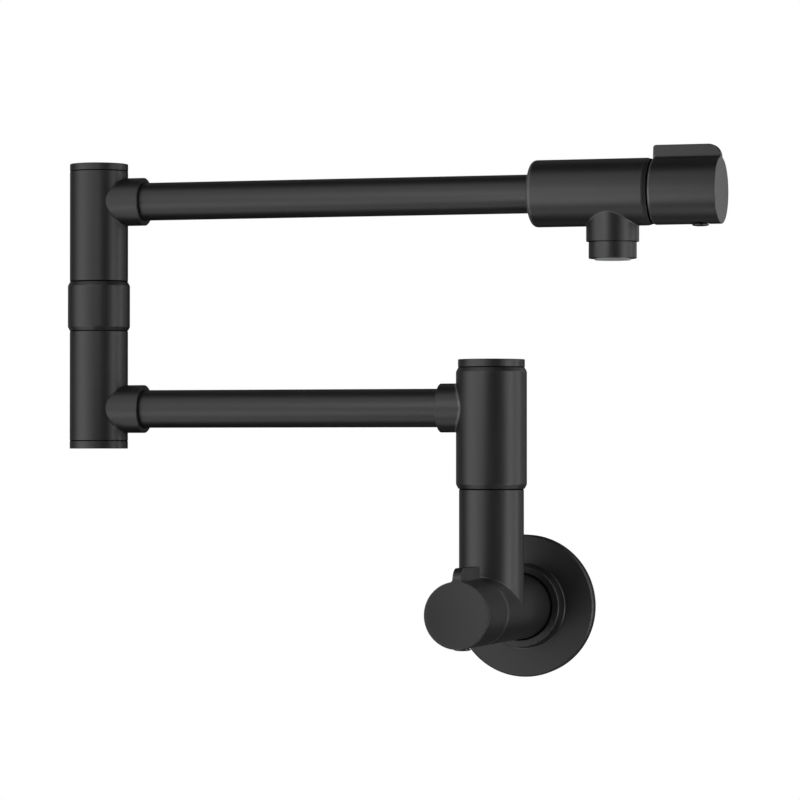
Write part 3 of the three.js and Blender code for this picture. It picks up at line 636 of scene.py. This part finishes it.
# ------------------------------------------------------------------ spout valve and aerator. Local z along the arm, local x down.
ALONG_DOWN = np.array([[0, 0, 1], [0, 1, 0], [-1, 0, 0]], float)
shell = Shell()
tee(
    shell,
    top=[(16.74, 0), (16.74, 290.9, 0.3), (14.2, 290.9, 0.15), (14.2, 285.4), (12.35, 285.4), (12.35, 278.75), (11.2, 278.75), (11.2, 0)],
    bottom=[(11.2, 0), (11.2, 257.7), (6.5, 257.7), (6.5, 247.3), (9.85, 247.3), (9.85, 231.85, 0.1), (16.74, 231.8, 2.6), (16.74, 0)],
    zb=NOZZLE_AT,
    branch=[(13.15, 19.0), (13.15, 24.45, 0.25), (11.2, 24.45), (11.2, 16.75), (6.0, 16.75), (6.0, 13.0)],
    fillet=0.4, m=26, rows=48, h_out=15.2, h_in=6.08,
)
# a painted glint on the rounding at the barrel's left end
paint_shade_and_glint(add(shell.build("spout_body_cast", ALONG_DOWN, SPOUT), "upper_arm", "spout_body", BLACK), ALONG_DOWN, SPOUT, (14.0, 16.73), (231.7, 234.0), BLACK_PAINTED_GLINT)
NOZZLE = (-LOWER_ARM + NOZZLE_AT, -COLUMN_Y, 0)
# a painted glint on the saddle fillet round the nozzle neck
paint_shade_and_glint(bpy.data.objects["spout_body_cast"], I3, NOZZLE, (13.16, 13.6), (189.0, 205.0), BLACK_PAINTED_GLINT)
simple("aerator_housing_turned", [
    (9.2, 175.1, 0.15), (11.93, 175.1, 0.4), (11.93, 183.15, 0.15), (11.0, 183.15), (11.0, 189.6), (9.9, 189.6), (9.9, 175.9), (9.2, 175.9),
], I3, NOZZLE, "upper_arm", "aerator_housing", BLACK)


def baked(ob, angle=None):
    """The object with its modifiers applied; angle marks edges sharper than that."""
    while len(ob.data.materials) < 3:
        ob.data.materials.append(None)
    bpy.context.view_layer.update()
    dg = bpy.context.evaluated_depsgraph_get()
    mesh = bpy.data.meshes.new_from_object(ob.evaluated_get(dg))
    mesh.name = ob.name
    ob.modifiers.clear()
    ob.data = mesh
    if angle:
        mesh.polygons.foreach_set("use_smooth", np.ones(len(mesh.polygons), bool))
        mesh.set_sharp_from_angle(angle=math.radians(angle))
    return ob


def aerator_insert():
    """Moulded flow straightener: a rounded rim, a honeycomb web across it, and the cup above that."""
    s = Shell()
    lathe(s, [
        (0.0, 174.8), (7.75, 174.8, 0.15), (8.0, 174.3, 0.12), (8.95, 174.3, 0.35), (8.95, 176.1), (9.65, 176.1, 0.15), (9.65, 188.9), (8.2, 188.9), (8.2, 177.0), (0.0, 177.0),
    ], 96)
    ob = s.build("aerator_insert_moulded", I3, NOZZLE, exact=False)
    bm = bmesh.new()
    pitch, flat = 1.86, 1.54
    for i in range(-6, 7):
        for j in range(-6, 7):
            cx, cy = pitch * (i + j / 2), pitch * math.sqrt(3) / 2 * j
            if math.hypot(cx, cy) > 7.0:
                continue
            low, high = [], []
            for q in range(6):
                w = math.radians(30 + 60 * q)
                x, y = cx + flat / math.sqrt(3) * math.cos(w), cy + flat / math.sqrt(3) * math.sin(w)
                for z, ends in ((173.6, low), (178.1, high)):
                    ends.append(bm.verts.new(((x + NOZZLE[0]) * 1e-3, (y + NOZZLE[1]) * 1e-3, z * 1e-3)))
            bm.faces.new(low[::-1])
            bm.faces.new(high)
            for q in range(6):
                bm.faces.new((low[q], low[(q + 1) % 6], high[(q + 1) % 6], high[q]))
    mesh = bpy.data.meshes.new("cells")
    bm.to_mesh(mesh)
    bm.free()
    cells = bpy.data.objects.new("cells", mesh)
    scene.collection.objects.link(cells)
    cut = ob.modifiers.new("cells", "BOOLEAN")
    cut.operation, cut.solver, cut.object = "DIFFERENCE", "EXACT", cells
    baked(ob, 30)
    bpy.data.objects.remove(cells)
    return ob


add(aerator_insert(), "upper_arm", "aerator_insert", GREY)


# ------------------------------------------------------------------ handles
def handle(name, end, turn, move, body, node):
    """A cap with a thin lever fin along its top, filleted into it, and a plugged screw hole underneath.
    Local z along the valve axis, y up. A hard-edged mesh first, then one even rounding on every sharp edge."""
    R, half, top, f = 16.53, 2.15, 22.9, 1.5
    front_r, back_r = 6.3, 1.5
    z0, z1, zh = end + 2.7, end + 36.75, end + 26.2
    step = 2 * math.pi / 128
    cy = math.sqrt((R + f) ** 2 - (half + f) ** 2)
    tangent = math.atan2(half + f, cy)  # from the top
    m, h, hole = 8, 6.6, 4.45
    count = 16
    zs = [zh - h + 2 * h * j / count for j in range(count + 1)]
    bm = bmesh.new()
    cache = {}

    def v(x, y, z):
        key = (round(x * 1e4), round(y * 1e4), round(z * 1e4))
        if key not in cache:
            p = np.array([x, y, z]) @ np.asarray(turn).T + np.asarray(move)
            cache[key] = bm.verts.new(p * 1e-3)
        return cache[key]

    def face(points, slot=0):
        vs = []
        for p in points:
            w = v(*p)
            if not vs or vs[-1] is not w:
                vs.append(w)
        if vs[0] is vs[-1]:
            vs.pop()
        made_face = bm.faces.new(vs)
        made_face.material_index = slot
        return made_face

    # the section, anticlockwise from the fin's left root round the bottom to its right root
    n = int((math.pi - tangent) / step)
    side = [step * i for i in range(-n, n + 1)]
    circle = [(R * math.sin(a), -R * math.cos(a)) for a in side]
    right, steps = [], 6
    a_circle = math.atan2(-cy, -(half + f))  # from the fillet centre towards the body axis
    for q in range(steps + 1):
        w = a_circle + (-math.pi - a_circle) * q / steps
        right.append((half + f + f * math.cos(w), cy + f * math.sin(w)))
    left = [(-x, y) for x, y in right[::-1]]
    section = left + circle + right
    fade = [i / steps for i in range(steps + 1)]
    shrink = [1 - 0.48 / R * f for f in fade + [1.0] * len(circle) + fade[::-1]]
    rear = [(x * f, y * f) for (x, y), f in zip(section, shrink)]  # the chamfered rear edge
    zr = z0 + 1.1
    # skin along the axis
    k0 = len(left)
    mid = k0 + n  # index of the bottom point in the section
    for i in range(len(section) - 1):
        (xa, ya), (xb, yb) = section[i], section[i + 1]
        # the rear chamfer goes in slot 2, the brighter painted glint
        face([(*rear[i], z0), (*rear[i + 1], z0), (xb, yb, zr), (xa, ya, zr)], 2)
        if mid - m <= i < mid + m:
            face([(xa, ya, zr), (xb, yb, zr), (xb, yb, zs[0]), (xa, ya, zs[0])])
            face([(xa, ya, zs[-1]), (xb, yb, zs[-1]), (xb, yb, z1), (xa, ya, z1)])
        elif i == mid - m - 1:
            face([(xa, ya, zr), (xb, yb, zr)] + [(xb, yb, z) for z in zs] + [(xb, yb, z1), (xa, ya, z1)])
        elif i == mid + m:
            face([(xa, ya, zr), (xb, yb, zr), (xb, yb, z1), (xa, ya, z1)] + [(xa, ya, z) for z in reversed(zs)])
        else:
            face([(xa, ya, zr), (xb, yb, zr), (xb, yb, z1), (xa, ya, z1)])
    # the screw hole's surround, wall and floor
    edge = edge_points(0.0, h, m, count, step)
    phi = branch_angles(m, count)
    rim = np.stack([np.arcsin(hole * np.cos(phi) / R), hole * np.sin(phi)], -1)
    rings = []
    for t in (0.0, 0.25, 0.6, 1.0):
        g = rim * (1 - t) + edge * t
        rings.append([(R * math.sin(a), -R * math.cos(a), zh + z) for a, z in g])
    floor = [(hole * math.cos(p), -12.4, zh + hole * math.sin(p)) for p in phi]
    rings.insert(0, floor)
    for a, b in zip(rings[:-1], rings[1:]):
        for i in range(len(a)):
            j = (i + 1) % len(a)
            face([a[i], a[j], b[j], b[i]])
    small = [(2.25 * math.cos(p), -12.4, zh + 2.25 * math.sin(p)) for p in phi]
    deep = [(x, -7.0, z) for x, _, z in small]
    for a, b in ((small, floor), (deep, small)):
        for i in range(len(a)):
            j = (i + 1) % len(a)
            face([a[i], a[j], b[j], b[i]])
    face(deep)
    # the fin
    outline = [(zr, cy), (z0, cy), (z0, top - back_r)]
    for q in range(1, 7):
        w = math.pi / 2 * q / 6
        outline.append((z0 + back_r * (1 - math.cos(w)), top - back_r * (1 - math.sin(w))))
    zc, yc = z1 - front_r, top - front_r
    low = math.asin((cy + 0.75 - yc) / front_r)
    for q in range(0, 19):
        w = math.pi / 2 + (low - math.pi / 2) * q / 18
        outline.append((zc + front_r * math.cos(w), yc + front_r * math.sin(w)))
    outline.append((z1, cy))
    for x in (-half, half):
        face([(x, y, z) for z, y in outline])
    for (za, ya), (zb, yb) in zip(outline[1:-1], outline[2:]):
        face([(-half, ya, za), (-half, yb, zb), (half, yb, zb), (half, ya, za)])
    # front face, faintly dished, then the rear face and the bores behind it
    inner = [math.atan2(y, x) for x, y in section]
    rows, dish, sag = [[(x, y, z1) for x, y in section]], 15.3, 0.45
    for r in (dish, 13.5, 11.0, 8.5, 6.0, 3.5, 1.5):
        z = z1 - sag * (1 - (r / dish) ** 2)
        rows.append([(r * math.cos(a), r * math.sin(a), z) for a in inner])
    for a, b in zip(rows[:-1], rows[1:]):
        for i in range(len(a)):
            j = (i + 1) % len(a)
            face([a[i], a[j], b[j], b[i]])
    face(rows[-1])
    rows = [[(x, y, z0) for x, y in rear]]
    for r, z in ((13.9, z0), (13.9, z0 + 9.5), (6.5, z0 + 9.5), (6.5, end + 31.6)):
        rows.append([(r * math.cos(a), r * math.sin(a), z) for a in inner])
    for a, b in zip(rows[:-1], rows[1:]):
        for i in range(len(a)):
            j = (i + 1) % len(a)
            face([a[i], a[j], b[j], b[i]])
    face(rows[-1])
    bmesh.ops.recalc_face_normals(bm, faces=bm.faces)
    for fc in bm.faces:
        fc.smooth = True
    seam = [v(x, y, zr) for x, y in section]
    for a, b in zip(seam[:-1], seam[1:]):
        bm.edges.get((a, b)).smooth = False
    mesh = bpy.data.meshes.new(name)
    bm.to_mesh(mesh)
    bm.free()
    ob = bpy.data.objects.new(name, mesh)
    scene.collection.objects.link(ob)
    bevel = ob.modifiers.new("edges", "BEVEL")
    bevel.limit_method = "ANGLE"
    bevel.angle_limit = math.radians(38)
    bevel.width = 0.00036
    bevel.segments = 4
    bevel.harden_normals = True
    # bevel faces go in slot 1, the painted edge highlight
    bevel.material = 1
    bevel.use_clamp_overlap = True
    weigh = ob.modifiers.new("normals", "WEIGHTED_NORMAL")
    weigh.mode, weigh.weight, weigh.keep_sharp = "FACE_AREA", 50, True
    baked(ob)
    add(ob, body, node, BLACK)
    return ob


def plug(name, move, body, node):
    """The push-in cover of the handle screw: a crowned button on a narrower neck."""
    s = Shell()
    turn_pieces(s, rounded([(0.0, 12.7), (4.25, 12.7), (4.25, 15.1), (3.6, 15.3), (3.6, 16.55), (4.2, 16.62)], closed=False), ring_angles(64))
    a = np.linspace(0, 90, 15)[:, None]
    r = 4.2 * np.cos(np.radians(a)) ** 0.72
    h = 16.62 + 0.25 * np.minimum(1, a / 12) + 0.72 * np.sin(np.radians(a)) ** 0.9
    p = np.hstack([r, h])
    n = np.gradient(p, axis=0) @ np.array([[0, -1], [1, 0]])
    n /= np.linalg.norm(n, axis=1)[:, None]
    n[-1] = (0, 1)
    turn_pieces(s, [(p, n)], ring_angles(64))
    ob = s.build(name, [[1, 0, 0], [0, -1, 0], [0, 0, -1]], move)
    # painted shade on the neck, in the gap round the button
    paint_shade_and_glint(add(ob, body, node, BLACK), [[1, 0, 0], [0, -1, 0], [0, 0, -1]], move, (0.0, 4.15), (15.2, 16.6))


def trim_ring(name, end, turn, move, body, node):
    # painted shade on the ring's end face, in the gap to the handle
    paint_shade_and_glint(simple(name, [(9.0, end - 2.75), (14.0, end - 2.75), (14.0, end + 0.06), (16.7, end + 0.06, 0.1), (16.15, end + 1.95, 0.15), (15.3, end + 1.95), (15.3, end + 2.35), (9.0, end + 2.35)],
           turn, move, body, node, BLACK), turn, move, (15.0, 16.0), (end + 1.9, end + 2.4))


handle("wall_handle_cast", 96.0, WALL, (0, 0, 0), "wall_handle", "wall_handle")
handle("spout_handle_cast", 290.9, ALONG, SPOUT, "spout_handle", "spout_handle")
plug("wall_handle_plug_dished", (0, -122.2, 0), "wall_handle", "wall_handle_plug")
plug("spout_handle_plug_dished", (-LOWER_ARM + 317.1, -COLUMN_Y, UPPER_Z), "spout_handle", "spout_handle_plug")
trim_ring("wall_trim_ring_turned", 96.0, WALL, (0, 0, 0), "wall_valve", "wall_trim_ring")
trim_ring("spout_trim_ring_turned", 290.9, ALONG, SPOUT, "upper_arm", "spout_trim_ring")


# ------------------------------------------------------------------ floor and light
def stage_floor():
    bm = bmesh.new()
    bmesh.ops.create_circle(bm, cap_ends=True, segments=128, radius=1.9)
    mesh = bpy.data.meshes.new("floor")
    bm.to_mesh(mesh)
    bm.free()
    o = bpy.data.objects.new("floor", mesh)
    o.location = (-0.05, -0.05, -0.42)
    scene.collection.objects.link(o)
    m = bpy.data.materials.new("pale_floor")
    m.use_nodes = True
    t = m.node_tree
    t.nodes.clear()
    out = t.nodes.new("ShaderNodeOutputMaterial")
    coord = t.nodes.new("ShaderNodeTexCoord")
    length = t.nodes.new("ShaderNodeVectorMath"); length.operation = "LENGTH"
    t.links.new(coord.outputs["Object"], length.inputs[0])
    fade = t.nodes.new("ShaderNodeMapRange")
    fade.interpolation_type = "SMOOTHERSTEP"
    fade.inputs["From Min"].default_value = 0.45
    fade.inputs["From Max"].default_value = 1.85
    t.links.new(length.outputs["Value"], fade.inputs["Value"])
    matt = t.nodes.new("ShaderNodeBsdfDiffuse")
    matt.inputs["Color"].default_value = (0.86, 0.86, 0.86, 1)
    glow = t.nodes.new("ShaderNodeEmission")
    glow.inputs["Color"].default_value = (1, 1, 1, 1)
    glow.inputs["Strength"].default_value = 0.62
    both = t.nodes.new("ShaderNodeAddShader")
    t.links.new(matt.outputs[0], both.inputs[0])
    t.links.new(glow.outputs[0], both.inputs[1])
    white = t.nodes.new("ShaderNodeEmission")
    white.inputs["Strength"].default_value = 1.0
    mix = t.nodes.new("ShaderNodeMixShader")
    t.links.new(fade.outputs["Result"], mix.inputs["Fac"])
    t.links.new(both.outputs[0], mix.inputs[1])
    t.links.new(white.outputs[0], mix.inputs[2])
    t.links.new(mix.outputs[0], out.inputs["Surface"])
    mesh.materials.append(m)
    o.visible_glossy = False
    o.visible_diffuse = False


stage_floor()

world = bpy.data.worlds.new("studio")
scene.world = world
world.use_nodes = True
wt = world.node_tree
wt.nodes.clear()
w_out = wt.nodes.new("ShaderNodeOutputWorld")
w_mix = wt.nodes.new("ShaderNodeMixShader")
w_path = wt.nodes.new("ShaderNodeLightPath")
w_dim = wt.nodes.new("ShaderNodeBackground")
w_dim.inputs["Color"].default_value = (1, 1, 1, 1)
w_dim.inputs["Strength"].default_value = 0.015
w_white = wt.nodes.new("ShaderNodeBackground")
w_white.inputs["Color"].default_value = (1, 1, 1, 1)
w_white.inputs["Strength"].default_value = 1.0
wt.links.new(w_path.outputs["Is Camera Ray"], w_mix.inputs["Fac"])
wt.links.new(w_dim.outputs[0], w_mix.inputs[1])
wt.links.new(w_white.outputs[0], w_mix.inputs[2])
wt.links.new(w_mix.outputs[0], w_out.inputs["Surface"])

AIM = Vector((-0.05, -0.06, 0.10))


def softbox(name, azimuth, elevation, wide, high, radiance, distance=1.4, aim=AIM):
    """Angles in degrees, azimuth from -Y towards +X; wide and high are how large it looks from the object.
    radiance is the brightness of its face, whatever its size."""
    data = bpy.data.lights.new(name, "AREA")
    data.shape = "RECTANGLE"
    data.size, data.size_y = (2 * distance * math.tan(math.radians(x / 2)) for x in (wide, high))
    data.energy = radiance * math.pi * data.size * data.size_y
    o = bpy.data.objects.new(name, data)
    a, e = math.radians(azimuth), math.radians(elevation)
    back = Vector((math.sin(a) * math.cos(e), -math.cos(a) * math.cos(e), math.sin(e)))
    o.location = Vector(aim) + back * distance
    o.rotation_euler = back.to_track_quat("Z", "Y").to_euler()
    o.visible_camera = False
    scene.collection.objects.link(o)
    return o


for row in (
    ("front_strip_0", -19, -72, 22, 18, 0.90),
    ("front_strip_2", -19, -34, 22, 18, 1.85),
    ("front_strip_3", -19, -18, 22, 18, 1.95),
    ("front_strip_4", -19, -3, 22, 18, 0.55),
    ("front_strip_5", -19, 11, 22, 18, 1.35),
    ("front_strip_6", -19, 27, 22, 18, 1.75),
    ("front_strip_7", -19, 44, 22, 18, 0.60),
    ("front_strip_8", -19, 62, 22, 18, 0.60),
    ("left_key", -52, -8, 40, 50, 2.05),
    ("left_key_upper", -54, 42, 40, 32, 1.00),
    ("left_key_lower", -54, -50, 40, 32, 1.15),
    ("left_side", -80, 0, 18, 60, 0.62),
    ("left_front", -33, 0, 14, 60, 0.25),
    ("right_key", 90, -8, 36, 50, 0.60),
    ("right_side", 114, 0, 14, 60, 2.45),
    ("right_upper", 104, 42, 34, 32, 0.75),
    ("right_lower", 104, -46, 34, 32, 0.55),
    ("front_wide", 24, 0, 44, 130, 0.09),
    ("under", 0, -78, 70, 30, 0.30),
    ("back_left", 232, 4, 40, 50, 0.16),
    ("back_right", 146, 4, 24, 50, 0.30),
    ("back_high", 182, 50, 80, 24, 0.15),
    ("back_low", 163, -58, 50, 36, 0.22),
):
    softbox(*row)
softbox("spout_end", 163, 4, 24, 24, 0.54, distance=0.30, aim=(0.115, -0.069, 0.208))
softbox("spout_front", -16, 3, 30, 26, 1.45, distance=0.45, aim=(0.05, -0.069, 0.205))
softbox("spout_top", -16, 46, 30, 40, 0.45, distance=0.45, aim=(0.05, -0.069, 0.205))
softbox("spout_low", -16, -22, 34, 30, 0.085, distance=0.26, aim=(0.085, -0.069, 0.207)).data.spread = math.radians(36)
softbox("spout_under", -10, -76, 30, 40, 0.25, distance=0.30, aim=(0.05, -0.069, 0.205))
softbox("spout_right", 62, 4, 30, 40, 1.35, distance=0.40, aim=(0.06, -0.069, 0.205))
softbox("riser_right", 80, 0, 24, 50, 1.60, distance=0.40, aim=(0.0, -0.069, 0.08))
softbox("flange_right", 60, -20, 20, 20, 6.00, distance=0.40, aim=(0.04, 0.0, 0.02))
